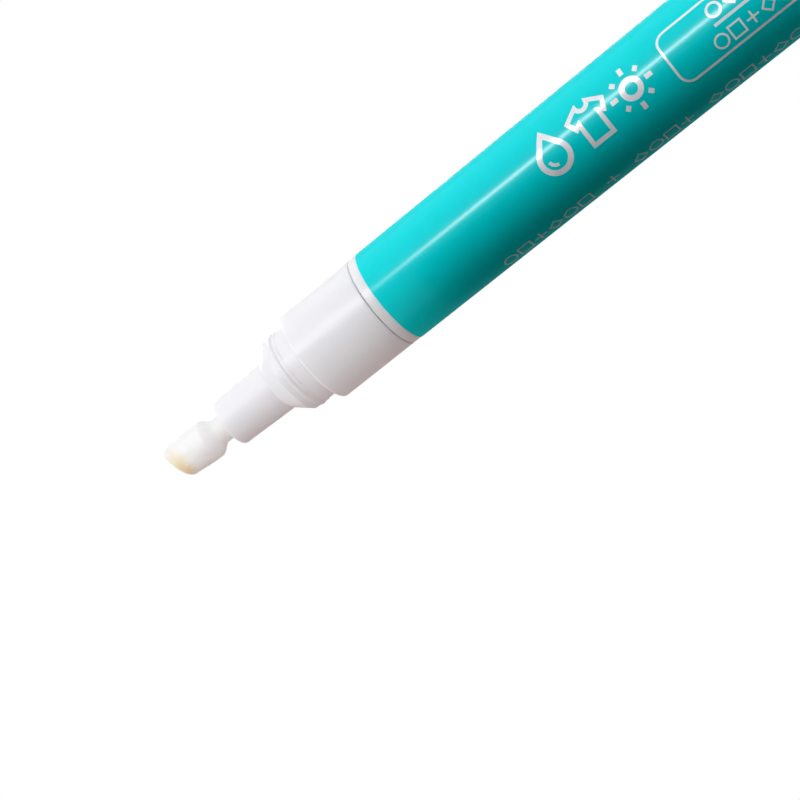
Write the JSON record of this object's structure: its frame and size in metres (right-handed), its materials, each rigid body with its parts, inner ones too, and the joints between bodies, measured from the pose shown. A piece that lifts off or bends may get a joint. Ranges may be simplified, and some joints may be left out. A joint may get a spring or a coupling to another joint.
{
  "type": "stain remover pen",
  "caption": "Round stain remover pen: a sprung felt nib that presses in to open a valve, a film-wrapped barrel, and a pull-off cap posted on the tail.",
  "frame": {"origin": "centre of the cap's closed end, which the pen stands on", "axes": "+Z along the pen's axis towards the nib, +X towards the long side of the nib's slanted end, -Y is the front of the label"},
  "size_m": [0.0152, 0.0152, 0.1535],
  "materials": {
    "white_plastic": "satin moulded polypropylene",
    "cap_plastic": "satin moulded polypropylene",
    "label_film": "glossy printed film",
    "nib_felt": "dense damp fibre felt",
    "valve_plastic": "natural polyethylene",
    "seal_rubber": "matt",
    "spring_steel": "bright drawn wire"
  },
  "bodies": {
    "pen": {"barrel": "white_plastic", "label_film": "label_film", "collar": "white_plastic", "nozzle": "white_plastic", "nozzle_gasket": "seal_rubber", "valve_housing": "valve_plastic", "valve_seat": "seal_rubber", "valve_spring": "spring_steel", "tail_plug": "white_plastic"},
    "nib": {"nib": "nib_felt", "nib_carrier": "valve_plastic", "valve_core": "valve_plastic"},
    "cap": {"cap_shell": "cap_plastic", "sealing_cup": "valve_plastic"}
  },
  "joints": [
    {"name": "nib_press", "type": "slide", "parent": "pen", "child": "nib", "axis": [0, 0, -1], "range_m": [0, 0.002], "stiffness_N_per_m": 300, "deforming": ["valve_spring"]},
    {"name": "cap_pull", "type": "slide", "parent": "cap", "child": "pen", "axis": [0, 0, 1], "range_m": [0, 0.03]}
  ]
}
